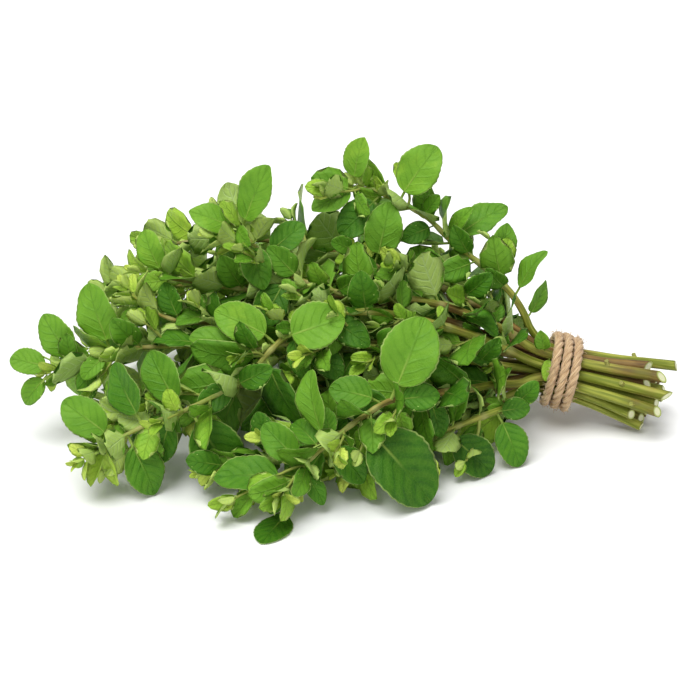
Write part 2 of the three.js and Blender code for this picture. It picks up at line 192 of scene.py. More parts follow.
# %% Stem and pith materials
def stem_material():
    material, tree, shader = new_material("oregano stem, fresh, ribbed", Roughness=0.5, IOR=1.4,
        Specular_IOR_Level=0.3)
    place = add(tree, "ShaderNodeTexCoord").outputs["Object"]
    along = add(tree, "ShaderNodeAttribute", attribute_name="along").outputs["Fac"]
    around = add(tree, "ShaderNodeAttribute", attribute_name="around").outputs["Fac"]
    flush = add(tree, "ShaderNodeAttribute", attribute_name="flush").outputs["Fac"]
    joint = add(tree, "ShaderNodeAttribute", attribute_name="joint").outputs["Fac"]

    # Streaks are about half a millimetre wide and twenty long, so the noise is squeezed along the stem.
    streak_place = add(tree, "ShaderNodeCombineXYZ",
        {0: maths(tree, "MULTIPLY", around, 9.0), 1: maths(tree, "MULTIPLY", along, 9.0),
        2: maths(tree, "MULTIPLY", flush, 40.0)})
    streak = add(tree, "ShaderNodeTexNoise", {"Vector": streak_place, "Scale": 1.0, "Detail": 3.0})
    patch = add(tree, "ShaderNodeTexNoise", {"Vector": place, "Scale": 1 / (16 * MM), "Detail": 2.0})
    grain = add(tree, "ShaderNodeTexNoise", {"Vector": place, "Scale": 1 / (0.5 * MM), "Detail": 2.0})

    young = ease(tree, along, 0.35, 0.95)
    green = blend(tree, young, linear("#6f7a22"), linear("#8f9f4c"))
    green = blend(tree, ease(tree, streak, 0.42, 0.66), green, linear("#a2a647"))
    brown = blend(tree, ease(tree, streak, 0.35, 0.7), linear("#5f4524"), linear("#94793f"))
    share = maths(tree, "ADD", maths(tree, "MULTIPLY_ADD", patch, 1.5, -0.95), flush)
    share = maths(tree, "MULTIPLY", ease(tree, share, 0.05, 0.55),
        maths(tree, "SUBTRACT", 1.0, maths(tree, "MULTIPLY", young, 0.35)))
    surface = blend(tree, share, green, brown)
    surface = blend(tree, maths(tree, "MULTIPLY", joint, 0.45), surface, linear("#b9b877"))
    tree.links.new(surface, shader.inputs["Base Color"])
    height = maths(tree, "MULTIPLY_ADD", grain, 0.4, streak)
    bump = add(tree, "ShaderNodeBump", {"Strength": 0.6, "Distance": 0.25 * MM, "Height": height})
    tree.links.new(bump.outputs[0], shader.inputs["Normal"])
    return material


def pith_material():
    material, tree, shader = new_material("oregano stem, fresh cut face", Roughness=0.35, IOR=1.4)
    outwards = add(tree, "ShaderNodeAttribute", attribute_name="outwards").outputs["Fac"]
    place = add(tree, "ShaderNodeTexCoord").outputs["Object"]
    pores = add(tree, "ShaderNodeTexVoronoi", {"Vector": place, "Scale": 1 / (0.3 * MM)})
    pith = blend(tree, maths(tree, "MULTIPLY", pores.outputs[0], 0.5), linear("#e6e6c0"), linear("#c4c98a"))
    surface = blend(tree, ease(tree, outwards, 0.55, 0.8), pith, linear("#a9b75a"))
    surface = blend(tree, ease(tree, outwards, 0.86, 0.97), surface, linear("#79743a"))
    tree.links.new(surface, shader.inputs["Base Color"])
    bump = add(tree, "ShaderNodeBump", {"Strength": 0.5, "Distance": 0.15 * MM, "Height": pores.outputs[0]})
    tree.links.new(bump.outputs[0], shader.inputs["Normal"])
    return material


STEM, PITH = stem_material(), pith_material()


# %% [markdown]
# ## Jute twine
# Jute is a coarse bast fibre, light brown and dull. Three yarns are laid together, and short fibre ends stand
# out all over. Real fibres are 0.05 mm thick; they are drawn at 0.15 mm, because thinner ones would not show.

# %% Twine material
def twine_material():
    material, tree, shader = new_material("jute twine, laid, undyed", Roughness=0.92, IOR=1.45,
        Sheen_Weight=0.25)
    place = add(tree, "ShaderNodeTexCoord").outputs["Object"]
    along = add(tree, "ShaderNodeAttribute", attribute_name="along").outputs["Fac"]
    around = add(tree, "ShaderNodeAttribute", attribute_name="around").outputs["Fac"]
    # Fibres lie almost along the yarn, a third of a millimetre apart.
    fibre_place = add(tree, "ShaderNodeCombineXYZ",
        {0: maths(tree, "MULTIPLY", around, 16.0), 1: maths(tree, "MULTIPLY", along, 1 / (4 * MM)), 2: 0.0})
    fibre = add(tree, "ShaderNodeTexNoise",
        {"Vector": fibre_place, "Scale": 1.0, "Detail": 3.0, "Roughness": 0.65})
    patch = add(tree, "ShaderNodeTexNoise", {"Vector": place, "Scale": 1 / (3 * MM), "Detail": 2.0})
    surface = blend(tree, ease(tree, fibre, 0.3, 0.7), linear("#a58159"), linear("#e2c69e"))
    surface = blend(tree, maths(tree, "MULTIPLY", ease(tree, patch, 0.5, 0.75), 0.4), surface,
        linear("#99724c"))
    tree.links.new(surface, shader.inputs["Base Color"])
    bump = add(tree, "ShaderNodeBump", {"Strength": 0.9, "Distance": 0.25 * MM, "Height": fibre})
    tree.links.new(bump.outputs[0], shader.inputs["Normal"])
    return material


TWINE = twine_material()


# %% [markdown]
# ## Measure the stems
# A solid stem is six-sided rings between two end caps. Starting at the middle of the cut cap and stepping from
# neighbour to neighbour finds the rings one after another; their middles give the line and their size the
# girth.

# %% Stem lines
def solid(node):
    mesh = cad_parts[node].data
    points = np.empty(len(mesh.vertices) * 3)
    mesh.vertices.foreach_get("co", points)
    points = points.reshape(-1, 3)
    _, first, merged = np.unique(np.round(points / (0.002 * MM)), axis=0, return_index=True,
        return_inverse=True)
    corners = np.array([list(p.vertices) for p in mesh.polygons])
    return points[first], merged.reshape(-1)[corners]


def rings(points, triangles):
    neighbours = [set() for _ in points]
    for triangle in triangles:
        for corner in triangle:
            neighbours[corner].update(triangle)
    end = points[:, 0].argmax()
    cap = np.argsort(np.linalg.norm(points - points[end], axis=1))[:7]
    start = cap[np.linalg.norm(points[cap] - points[cap].mean(0), axis=1).argmin()]
    seen, layer, found = {start}, {start}, []
    while layer:
        layer = set().union(*(neighbours[k] for k in layer)) - seen
        seen |= layer
        if len(layer) > 1:
            found.append(points[list(layer)])
    return found


def through(points, count):
    """A smooth line through evenly spaced points."""
    points = np.asarray(points, float)
    ends = np.vstack([2 * points[0] - points[1], points, 2 * points[-1] - points[-2]])
    t = np.linspace(0, len(points) - 1, count)
    k = np.minimum(t.astype(int), len(points) - 2)
    f = (t - k)[:, None]
    a, b, c, d = ends[k], ends[k + 1], ends[k + 2], ends[k + 3]
    return 0.5 * (2 * b + (c - a) * f + (2 * a - 5 * b + 4 * c - d) * f**2 + (3 * b - a - 3 * c + d) * f**3)


STEM_STEPS = 160
stems = {}
for node in sorted(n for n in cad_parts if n.endswith("_stem")):
    found = rings(*solid(node))
    middles = [ring.mean(0) for ring in found]
    girths = [np.linalg.norm(ring - ring.mean(0), axis=1).mean() for ring in found]
    line = through(middles, STEM_STEPS)
    tangent = np.gradient(line, axis=0)
    stems[node[:8]] = {
        "line": line,
        "girth": through(np.array(girths)[:, None], STEM_STEPS)[:, 0],
        "tangent": tangent / np.linalg.norm(tangent, axis=1)[:, None],
        "length": np.linalg.norm(np.diff(line, axis=0), axis=1).sum(),
    }
print(len(stems), "stems,", round(min(s["length"] for s in stems.values()) / MM), "to",
      round(max(s["length"] for s in stems.values()) / MM), "mm long")


# %% [markdown]
# ## Measure the big leaves
# The two ends of a solid leaf are its farthest points, and the base is the end by its own stem. The thinnest
# direction is its face, and the margins are folded up, which tells the upper side from the lower.

# %% Leaf places
def unit(v):
    v = np.asarray(v, float)
    return v / max(np.linalg.norm(v), 1e-12)


def nearest_share(stem, point):
    return int(np.linalg.norm(stem["line"] - point, axis=1).argmin()) / (STEM_STEPS - 1)


def leaf_place(node):
    points, _ = solid(node)
    stem = stems[node[:8]]
    apart = np.linalg.norm(points[:, None] - points[None], axis=2)
    ends = [points[k] for k in np.unravel_index(apart.argmax(), apart.shape)]
    gaps = [np.linalg.norm(stem["line"] - end, axis=1).min() for end in ends]
    base, tip = ends if gaps[0] < gaps[1] else ends[::-1]
    base = points[np.linalg.norm(points - base, axis=1) < 1.6 * MM].mean(0)
    tip = points[np.linalg.norm(points - tip, axis=1) < 0.12 * apart.max()].mean(0)
    along = unit(tip - base)
    lies = points[:, 2].min() < 0.1 * MM
    if lies:
        face = np.array([0.0, 0.0, 1.0])
    else:
        outer = points[(points - base) @ along > 0.3 * apart.max()]
        offsets = outer - outer.mean(0)
        offsets -= np.outer(offsets @ along, along)
        face = unit(np.linalg.svd(offsets)[2][1])
        across = np.cross(face, along)
        aside = np.abs((outer - base) @ across)
        if np.cov(aside, (outer - base) @ face)[0, 1] < 0:
            face = -face
    across = unit(np.cross(face, along))
    width = np.ptp((points - base) @ across)
    return {
        "sprig": node[:8], "base": base, "tip": tip, "face": np.cross(along, across), "lies": lies,
        "length": float(np.linalg.norm(tip - base)), "wide": float(width / np.linalg.norm(tip - base)),
        "share": nearest_share(stem, base),
    }


big_leaves = {n: leaf_place(n) for n in sorted(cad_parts) if "_leaf_" in n}
print(len(big_leaves), "big leaves, the longest", round(max(p["length"] for p in big_leaves.values()) / MM, 1),
    "mm")


# %% [markdown]
# ## The shape of a leaf
# A leaf is one closed skin: rings of points, each going across the upper side and back below. Its outline is a
# broad egg shape on a stalk, with a few shallow teeth. It is folded along the midrib, arched along its length,
# wavy at the margin, and it swells between the side veins. All sizes here are shares of the leaf's length.

# %% Leaf shape
def leaf_shape(rows, columns, wide=0.66, fold=0.2, arch=0.06, curl=0.05, twist=0.1, wave=0.02, swell=0.012,
               teeth=0.05, thick=0.012, stalk=0.022, seed=0):
    chance = np.random.default_rng(seed)
    blade_rows = 0.5 - 0.5 * np.cos(np.pi * np.linspace(0, 1, rows))
    s = np.concatenate([[0.0, 0.5 * PETIOLE], PETIOLE + (1 - PETIOLE) * blade_rows])
    t = np.clip((s - PETIOLE) / (1 - PETIOLE), 0, 1)
    half = t**0.5 * (1 - t) ** chance.uniform(0.52, 0.7)
    half *= 0.5 * wide / half.max()
    half *= 1 - teeth * (1 - (t * 9 + chance.uniform()) % 1) * np.clip((t - 0.12) * 8, 0, 1)
    width = np.maximum(half, stalk * (1 - 0.8 * (s > 0.9)))
    w = np.linspace(-1, 1, columns)
    S, W = np.meshgrid(s, w, indexing="ij")
    T, H = t[:, None], half[:, None]
    y = width[:, None] * W
    a = np.abs(W)
    z = (
        fold * (np.sqrt((a * H) ** 2 + 0.02**2) - 0.02) + arch * np.sin(np.pi * S)
        - curl * np.clip(S - 0.55, 0, 1) ** 2 * 4
    )
    phase = SIDE_VEINS * (T - VEIN_RAKE * a - 0.08 * a**2)
    between = (
        np.sin(np.pi * phase) ** 2 * np.clip(a * 4, 0, 1)
        * np.clip((1.05 - a) * 4, 0, 1) * np.clip(H / 0.1, 0, 1)
    )
    z += swell * between
    z += (
        wave * np.sin(2 * np.pi * (T * chance.uniform(1.2, 2.0) + chance.uniform()) + W)
        * a**2 * np.clip(H / 0.1, 0, 1)
    )
    y, z = y + 0.0, z + twist * (S - 0.4) * y
    body = np.sqrt(np.clip(1 - W**2, 0, 1))
    on_stalk = np.clip((PETIOLE + 0.06 - S) / 0.06, 0, 1)
    rib = np.exp(-((a / 0.09) ** 2)) * (0.012 * (1 - 0.7 * T)) * (1 - on_stalk)
    depth = thick * np.clip(body * 1.6, 0, 1) * (1 - on_stalk) + 2 * stalk * body * on_stalk + rib
    depth[-1] *= 0.3
    upper = np.stack([S, y, z + stalk * body * on_stalk], -1)
    lower = upper - np.stack([0 * S, 0 * S, depth], -1)
    ring = np.concatenate([upper, lower[:, -2:0:-1]], 1)
    leaf_map = np.concatenate([np.stack([S, 0.5 + 0.5 * W], -1), np.stack([S, 0.5 + 0.5 * W], -1)[:, -2:0:-1]],
        1)
    n, m = ring.shape[:2]
    k = np.arange(n - 1)[:, None] * m + np.arange(m)[None]
    right = np.arange(n - 1)[:, None] * m + (np.arange(m) + 1)[None] % m
    quads = np.stack([k, k + m, right + m, right], -1).reshape(-1, 4)
    under = np.tile(np.arange(m) >= columns - 1, n - 1)
    caps = [list(range(m))[::-1], [(n - 1) * m + j for j in range(m)]]
    return {
        "points": ring.reshape(-1, 3), "map": leaf_map.reshape(-1, 2),
        "faces": [q.tolist()[::-1] for q in quads] + [c[::-1] for c in caps],
        "under": [*under.astype(float), 0.0, 0.0],
    }


sample = leaf_shape(12, 9)
print("a leaf has", len(sample["points"]), "points and", len(sample["faces"]), "faces")


# %% [markdown]
# ## Putting a leaf in its place
# A leaf's own x runs to its tip, z is its upper side. The stalk starts inside the stem, so its first part is
# drawn towards the stem's line, and the rest keeps its place. Several placed leaves can share one mesh.

# %% Leaf placing and meshes
def axes(along, face):
    x = unit(along)
    y = unit(np.cross(face, x))
    return np.stack([x, y, np.cross(x, y)], 1)


def place_leaf(shape, base, along, face, length, root=None):
    points = base + (shape["points"] * length) @ axes(along, face).T
    if root is not None:
        pull = np.clip(1 - shape["map"][:, 0] / (PETIOLE + 0.1), 0, 1)[:, None] ** 2
        points = points + pull * (root - base)
    return points


def leaf_mesh(name, leaves):
    """leaves is a list of (shape, points, tone)."""
    points = np.concatenate([p for _, p, _ in leaves])
    faces, maps, under, tones, start = [], [], [], [], 0
    for shape, placed, tone in leaves:
        faces += [[start + k for k in face] for face in shape["faces"]]
        maps.append(shape["map"])
        under += shape["under"]
        tones += [tone] * len(placed)
        start += len(placed)
    mesh = bpy.data.meshes.new(name)
    mesh.from_pydata(points.tolist(), [], faces)
    corner_map = np.concatenate(maps)
    corners = np.empty(len(mesh.loops), int)
    mesh.loops.foreach_get("vertex_index", corners)
    mesh.uv_layers.new(name="leaf_map").data.foreach_set("uv", corner_map[corners].ravel())
    mesh.attributes.new("tone", "FLOAT", "POINT").data.foreach_set("value", tones)
    mesh.attributes.new("underside", "FLOAT", "FACE").data.foreach_set("value", under)
    mesh.polygons.foreach_set("use_smooth", [True] * len(mesh.polygons))
    mesh.materials.append(LEAF)
    piece = bpy.data.objects.new(name, mesh)
    bpy.context.scene.collection.objects.link(piece)
    return piece


def keep(piece, slot, *solids):
    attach(piece, "root")
    if solids:
        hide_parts(*solids)
    return piece


# %% [markdown]
# ## The big leaves
# Each is its own piece with a fine skin, in the place of its solid. Their tones differ: those near the tips are
# fresh and bright and those low down are old and dark, and the tones also carry painted light: leaves on top
# are made brighter and leaves in the shade darker.

# %% Big leaves
# Tones from old to young, partly age and partly painted light: brighter on top, darker in the shade.
TONES_AGE_AND_PAINTED_LIGHT = {
    "sprig_01_leaf_1": 0.62, "sprig_01_leaf_2": 0.5, "sprig_01_leaf_3": 0.6, "sprig_01_leaf_4": 0.2,
    "sprig_01_leaf_5": 0.42, "sprig_01_leaf_6": 0.45, "sprig_01_leaf_7": 0.5,
    "sprig_02_leaf_1": 0.5, "sprig_02_leaf_2": 0.24, "sprig_02_leaf_3": 0.3,
    "sprig_03_leaf_1": 0.35, "sprig_03_leaf_2": 0.3, "sprig_03_leaf_3": 0.5, "sprig_03_leaf_4": 0.6,
    "sprig_03_leaf_5": 0.2,
    "sprig_04_leaf_1": 0.56, "sprig_04_leaf_2": 0.6, "sprig_04_leaf_3": 0.3, "sprig_04_leaf_4": 0.4,
    "sprig_04_leaf_5": 0.5, "sprig_04_leaf_6": 0.25, "sprig_04_leaf_7": 0.35,
    "sprig_05_leaf_1": 0.52, "sprig_05_leaf_2": 0.4, "sprig_05_leaf_3": 0.12, "sprig_05_leaf_4": 0.5,
    "sprig_05_leaf_5": 0.4, "sprig_05_leaf_6": 0.15, "sprig_05_leaf_7": 0.35,
    "sprig_06_leaf_1": 0.08, "sprig_06_leaf_2": 0.3,
    "sprig_08_leaf_1": 0.5, "sprig_08_leaf_2": 0.55, "sprig_08_leaf_3": 0.55, "sprig_09_leaf_1": 0.6,
}


def stem_root(sprig, share, towards):
    """Where a leaf's stalk leaves the stem: inside it, on the side that the leaf is on."""
    stem = stems[sprig]
    k = int(round(share * (STEM_STEPS - 1)))
    out = towards - stem["line"][k]
    out = out - (out @ stem["tangent"][k]) * stem["tangent"][k]
    return stem["line"][k] + 0.5 * stem["girth"][k] * unit(out)


chance = np.random.default_rng(7)
placed = []
for number, (node, p) in enumerate(big_leaves.items()):
    bent = dict(fold=0.0, arch=0.0, curl=0.0, wave=0.006, swell=0.008, twist=0.0) if p["lies"] else dict(
        fold=chance.uniform(0.12, 0.3), arch=0.06, curl=chance.uniform(0.0, 0.07),
        twist=chance.uniform(-0.3, 0.3), wave=0.03, swell=0.01)
    shape = leaf_shape(46, 17, wide=p["wide"] * 0.93, seed=number, **bent)
    base, along = p["base"], p["tip"] - p["base"]
    if p["lies"]:
        base = np.array([*base[:2], 0.0006])
        along = np.array([*along[:2], 0.0])
    points = place_leaf(shape, base, along, p["face"], np.linalg.norm(along),
        stem_root(p["sprig"], p["share"], p["base"]))
    points[:, 2] = np.maximum(points[:, 2], 0.0001)
    piece = leaf_mesh(node.replace("leaf", "big_leaf"), [(shape, points, TONES_AGE_AND_PAINTED_LIGHT.get(node, 0.35))])
    keep(piece, "leaf", node)
    placed.append((points, shape))
print(len(placed), "big leaves of", len(shape["faces"]), "faces each")


# %% [markdown]
# ## The stems
# A stem follows its line, so Geometry Nodes sweep a rounded square along it. The line carries the girth, which
# swells a little at every joint, and the marks that the finish reads. The sweep turns slowly, as real stems do.

# %% Tools for Geometry Nodes
def geometry_tree(name, **inputs):
    tree = bpy.data.node_groups.new(name, "GeometryNodeTree")
    tree.interface.new_socket("Geometry", in_out="INPUT", socket_type="NodeSocketGeometry")
    for label, kind in inputs.items():
        tree.interface.new_socket(label.replace("_", " "), in_out="INPUT", socket_type="NodeSocket" + kind)
    tree.interface.new_socket("Geometry", in_out="OUTPUT", socket_type="NodeSocketGeometry")
    return tree, add(tree, "NodeGroupInput"), add(tree, "NodeGroupOutput")


def named(tree, name, kind="FLOAT"):
    return add(tree, "GeometryNodeInputNamedAttribute", {"Name": name}, data_type=kind).outputs["Attribute"]


def store(tree, geometry, name, value, domain="POINT"):
    return add(tree, "GeometryNodeStoreNamedAttribute", {"Geometry": geometry, "Name": name, "Value": value},
        data_type="FLOAT", domain=domain)


def finish_tree(tree, output, geometry, material):
    realized = add(tree, "GeometryNodeRealizeInstances", {"Geometry": geometry})
    shaded = add(tree, "GeometryNodeSetMaterial", {"Geometry": realized, "Material": material})
    tree.links.new(shaded.outputs[0], output.inputs[0])


def made_by(tree, source, name, **inputs):
    """Runs the tree on a mesh and returns the result as a plain piece."""
    holder = bpy.data.objects.new(name + "_source", source)
    bpy.context.scene.collection.objects.link(holder)
    modifier = holder.modifiers.new("made", "NODES")
    modifier.node_group = tree
    for item in tree.interface.items_tree:
        if item.in_out == "INPUT" and item.name.replace(" ", "_") in inputs:
            modifier[item.identifier] = inputs[item.name.replace(" ", "_")]
    seen = holder.evaluated_get(bpy.context.evaluated_depsgraph_get())
    mesh = bpy.data.meshes.new_from_object(seen)
    mesh.name = name
    holder.modifiers.remove(modifier)
    bpy.data.objects.remove(holder)
    piece = bpy.data.objects.new(name, mesh)
    bpy.context.scene.collection.objects.link(piece)
    return piece


def path_mesh(name, line, **marks):
    mesh = bpy.data.meshes.new(name)
    mesh.from_pydata(np.asarray(line).tolist(), [(k, k + 1) for k in range(len(line) - 1)], [])
    for mark, values in marks.items():
        mesh.attributes.new(mark, "FLOAT", "POINT").data.foreach_set("value",
            np.broadcast_to(values, len(line)).astype(float))
    return mesh


# %% Stem sweep
def stem_tree():
    tree, given, output = geometry_tree("stem sweep", Sides="Int", Squareness="Float", Turns_a_metre="Float",
        Material="Material")
    curve = add(tree, "GeometryNodeMeshToCurve", {"Mesh": given.outputs["Geometry"]})
    length = add(tree, "GeometryNodeSplineParameter").outputs["Length"]
    turned = add(tree, "GeometryNodeSetCurveTilt",
        {"Curve": curve, "Tilt": maths(tree, "MULTIPLY", length, given.outputs["Turns a metre"])})
    circle = add(tree, "GeometryNodeCurvePrimitiveCircle",
        {"Resolution": given.outputs["Sides"], "Radius": 1.0})
    round_share = add(tree, "GeometryNodeSplineParameter").outputs["Factor"]
    circle = store(tree, circle, "around", round_share)
    corner = maths(tree, "COSINE", maths(tree, "MULTIPLY", round_share, 8 * math.pi))
    corner = maths(tree, "MULTIPLY_ADD", corner, given.outputs["Squareness"], 1.0)
    at = add(tree, "GeometryNodeInputPosition")
    out = add(tree, "ShaderNodeVectorMath", {0: at, "Scale": corner}, operation="SCALE")
    square = add(tree, "GeometryNodeSetPosition", {"Geometry": circle, "Position": out})
    swept = add(tree, "GeometryNodeCurveToMesh",
        {"Curve": turned, "Profile Curve": square, "Scale": named(tree, "girth"), "Fill Caps": True})
    finish_tree(tree, output, swept, given.outputs["Material"])
    return tree


STEM_SWEEP = stem_tree()
print("the stem sweep has", len(STEM_SWEEP.nodes), "nodes")


# %% [markdown]
# ## Where the leaves grow
# A stem has a joint every centimetre or so, closer together towards the tip. Each bears two leaves, and each
# pair stands square to the last. The part that the tie holds is bare, because its leaves were stripped off.

# %% Slanted cuts
def slant(mesh, stem):
    """Knives do not cut square: the side that the cut looks to is shorter."""
    towards, slope = stem["cut"]
    end, out = stem["line"][0], -stem["tangent"][0]
    points = np.empty(len(mesh.vertices) * 3)
    mesh.vertices.foreach_get("co", points)
    points = points.reshape(-1, 3)
    offset = points - end
    weight = np.clip(1 + (offset @ out) / (6 * MM), 0, 1) * (np.linalg.norm(offset, axis=1) < 9 * MM)
    back_by = slope * (offset @ unit(towards - (towards @ out) * out) + stem["girth"][0])
    mesh.vertices.foreach_set("co", (points - np.outer(weight * back_by, out)).ravel())
    mesh.update()


# %% Joints
tie_low, tie_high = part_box("twine_turns")
bare_until = tie_low.x - 9 * MM  # no leaves from the cut ends to here
for number, (sprig, stem) in enumerate(stems.items()):
    chance = np.random.default_rng(100 + number)
    distance = np.linspace(0, stem["length"], STEM_STEPS)
    joints, at = [], distance[(stem["line"][:, 0] > bare_until).sum()] + chance.uniform(0, 8) * MM
    while at < stem["length"] - 5 * MM:
        joints.append(at / stem["length"])
        left = (stem["length"] - at) / MM
        at += chance.uniform(0.85, 1.15) * np.interp(left, [0, 30, 90], [5.0, 9.0, 13.0]) * MM
    stem["joints"], stem["turn"] = joints, chance.uniform(0, math.tau)
    share = np.linspace(0, 1, STEM_STEPS)
    swelling = sum(np.exp(-(((share - joint) * stem["length"] / (1.3 * MM)) ** 2)) for joint in joints)
    fine_share = np.linspace(0, 1, 3 * STEM_STEPS)
    girth = np.interp(fine_share, share, stem["girth"])
    swelling = np.interp(fine_share, share, swelling)
    source = path_mesh(sprig, through(stem["line"][::4], 3 * STEM_STEPS),
        girth=girth * (1 + 0.16 * swelling) * 0.97,
                       along=fine_share, joint=np.clip(swelling, 0, 1), flush=chance.uniform(0.1, 0.85))
    piece = made_by(STEM_SWEEP, source, f"{sprig}_fine_stem", Sides=14, Squareness=0.07, Turns_a_metre=9.0,
        Material=STEM)
    piece.data.polygons.foreach_set("use_smooth", [len(q.vertices) == 4 for q in piece.data.polygons])
    turn = chance.uniform(-1.1, 1.1)
    stem["cut"] = unit([0.0, -math.cos(turn),
        0.5 + math.sin(turn)]), math.tan(math.radians(chance.uniform(15, 45)))
    slant(piece.data, stem)
    keep(piece, "stem", f"{sprig}_stem")


# %% [markdown]
# ## The cut faces
# Every stem ends in a fresh cut: a slightly hollow disc of pith. One small disc is placed at each end by
# Geometry Nodes, square to its stem and as wide as it.

# %% Cut faces
def disc_mesh():
    reach, sides = [0.0, 0.35, 0.6, 0.8, 0.93, 1.0], 16
    lift = [-0.05, -0.04, 0.0, 0.02, 0.03, -0.06]
    points, faces = [(0.0, 0.0, lift[0])], []
    for radius, height in zip(reach[1:], lift[1:]):
        points += [(radius * math.cos(math.tau * k / sides), radius * math.sin(math.tau * k / sides), height)
            for k in range(sides)]
    for k in range(sides):
        faces.append((0, 1 + k, 1 + (k + 1) % sides))
        for ring in range(len(reach) - 2):
            a, b = 1 + ring * sides + k, 1 + ring * sides + (k + 1) % sides
            faces.append((a, a + sides, b + sides, b))
    faces.append(tuple(1 + (len(reach) - 2) * sides + k for k in reversed(range(sides))))
    mesh = bpy.data.meshes.new("cut disc")
    mesh.from_pydata(points, [], faces)
    mesh.attributes.new("outwards", "FLOAT", "POINT").data.foreach_set("value",
        [math.hypot(*q[:2]) for q in points])
    return mesh


def scatter_tree(name):
    """One of a set of shapes at each point, x along the stored direction and z towards the stored face."""
    tree, given, output = geometry_tree(name, Shapes="Collection", Material="Material")
    shapes = add(tree, "GeometryNodeCollectionInfo",
        {"Collection": given.outputs["Shapes"], "Separate Children": True, "Reset Children": True})
    turn = add(tree, "FunctionNodeAxesToRotation",
        {"Primary Axis": named(tree, "face", "FLOAT_VECTOR"),
        "Secondary Axis": named(tree, "along", "FLOAT_VECTOR")},
               primary_axis="Z", secondary_axis="X")
    copies = add(tree, "GeometryNodeInstanceOnPoints", {
        "Points": given.outputs["Geometry"], "Instance": shapes, "Pick Instance": True,
        "Instance Index": named(tree, "kind", "INT"),
        "Rotation": turn, "Scale": named(tree, "size")})
    finish_tree(tree, output, copies, given.outputs["Material"])
    return tree


def point_mesh(name, rows):
    """rows is a list of dicts with base, along, face, size and kind, and any more numbers to carry."""
    mesh = bpy.data.meshes.new(name)
    mesh.from_pydata([tuple(row["base"]) for row in rows], [], [])
    for mark in rows[0]:
        values = np.array([row[mark] for row in rows])
        if mark == "kind":
            mesh.attributes.new(mark, "INT", "POINT").data.foreach_set("value", values)
        elif values.ndim == 2 and mark != "base":
            mesh.attributes.new(mark, "FLOAT_VECTOR", "POINT").data.foreach_set("vector", values.ravel())
        elif values.ndim == 1:
            mesh.attributes.new(mark, "FLOAT", "POINT").data.foreach_set("value", values)
    return mesh


def shape_collection(name, meshes):
    group = bpy.data.collections.new(name)
    for number, mesh in enumerate(meshes):
        group.objects.link(bpy.data.objects.new(f"{name} {number:02d}", mesh))
    return group


SCATTER = scatter_tree("shapes at points")
discs = shape_collection("cut discs", [disc_mesh()])
for sprig, stem in stems.items():
    out = -stem["tangent"][0]
    place = {"base": stem["line"][0] + out * 0.1 * MM, "face": out,
        "along": unit(np.cross(out, [0.3, 0.8, 0.5])), "size": 1.0 * stem["girth"][0], "kind": 0}
    piece = made_by(SCATTER, point_mesh(f"{sprig} cut", [place]), f"{sprig}_cut_face", Shapes=discs,
        Material=PITH)
    slant(piece.data, stem)
    keep(piece, "stem")
print(len(stems), "cut faces of", len(piece.data.polygons), "faces")


# %% Stubs of stripped leaves
# Where leaves and shoots were stripped from the bare part, a short stub is left at the joint.
chance = np.random.default_rng(21)
stubs = []
for sprig in ("sprig_01", "sprig_03", "sprig_04", "sprig_05", "sprig_08", "sprig_12", "sprig_16", "sprig_18"):
    stem = stems[sprig]
    at = int(np.argmin(np.abs(stem["line"][:, 0] - tie_high.x - chance.uniform(6, 20) * MM)))
    tangent, girth = stem["tangent"][at], stem["girth"][at]
    out = unit([0.0, *(stem["line"][at][1:] - [0.0, 0.012] + chance.normal(0, 2, 2) * MM)])
    out = unit(out - (out @ tangent) * tangent)
    line = stem["line"][at] + np.linspace(0.2, 1, 6)[:,
        None] * (girth * out + 1.6 * MM * unit(out + 0.8 * tangent))
    source = path_mesh(f"{sprig} stub", line, girth=np.array([1.0, 0.95, 0.85, 0.8, 0.78, 0.75]) * MM,
        along=0.1, joint=0.5, flush=0.5)
    stub = made_by(STEM_SWEEP, source, f"{sprig}_stub", Sides=8, Squareness=0.0, Turns_a_metre=0.0,
        Material=STEM)
    keep(stub, "stem")
    stubs.append(stub)
print(len(stubs), "stubs")


# %% [markdown]
# ## Room for a leaf
# Leaves in a bunch press against each other but do not pass through each other. Before a leaf is kept, its
# blade is tested against every stem and every leaf near it, and it is turned or made smaller until it fits.

# %% Testing for room
def blade_of(shape):
    beyond = shape["map"][:, 0] > 0.1
    return [face for face in shape["faces"] if all(beyond[k] for k in face)]


class Crowd:
    """Everything placed so far, each with a ball round it for a quick first test."""

    def __init__(self):
        self.middles, self.reaches, self.trees, self.owners = [], [], [], []

    def tree(self, points, faces):
        return BVHTree.FromPolygons(points.tolist(), faces)

    def put(self, points, faces, owner):
        used = points[sorted({k for face in faces for k in face})]
        middle = (used.min(0) + used.max(0)) / 2
        self.middles.append(middle)
        self.reaches.append(np.linalg.norm(used - middle, axis=1).max())
        self.trees.append(self.tree(points, faces))
        self.owners.append(owner)

    def has_room(self, points, faces, friends):
        used = points[sorted({k for face in faces for k in face})]
        middle = (used.min(0) + used.max(0)) / 2
        reach = np.linalg.norm(used - middle, axis=1).max()
        apart = np.linalg.norm(np.array(self.middles) - middle, axis=1) - np.array(self.reaches)
        mine = self.tree(points, faces)
        return not any(self.owners[k] not in friends and mine.overlap(self.trees[k])
            for k in np.flatnonzero(apart < reach))


def tube(line, girth, sides=6):
    up = np.array([0.0, 0.0, 1.0])
    tangent = np.gradient(line, axis=0)
    side = np.cross(tangent, up)
    side /= np.linalg.norm(side, axis=1)[:, None]
    other = np.cross(tangent, side)
    other /= np.linalg.norm(other, axis=1)[:, None]
    angle = np.arange(sides) * math.tau / sides
    ring = np.cos(angle)[None, :, None] * side[:, None] + np.sin(angle)[None, :, None] * other[:, None]
    points = (line[:, None] + ring * girth[:, None, None]).reshape(-1, 3)
    faces = [[k * sides + j, k * sides + (j + 1) % sides, (k + 1) * sides + (j + 1) % sides,
        (k + 1) * sides + j]
             for k in range(len(line) - 1) for j in range(sides)]
    return points, faces


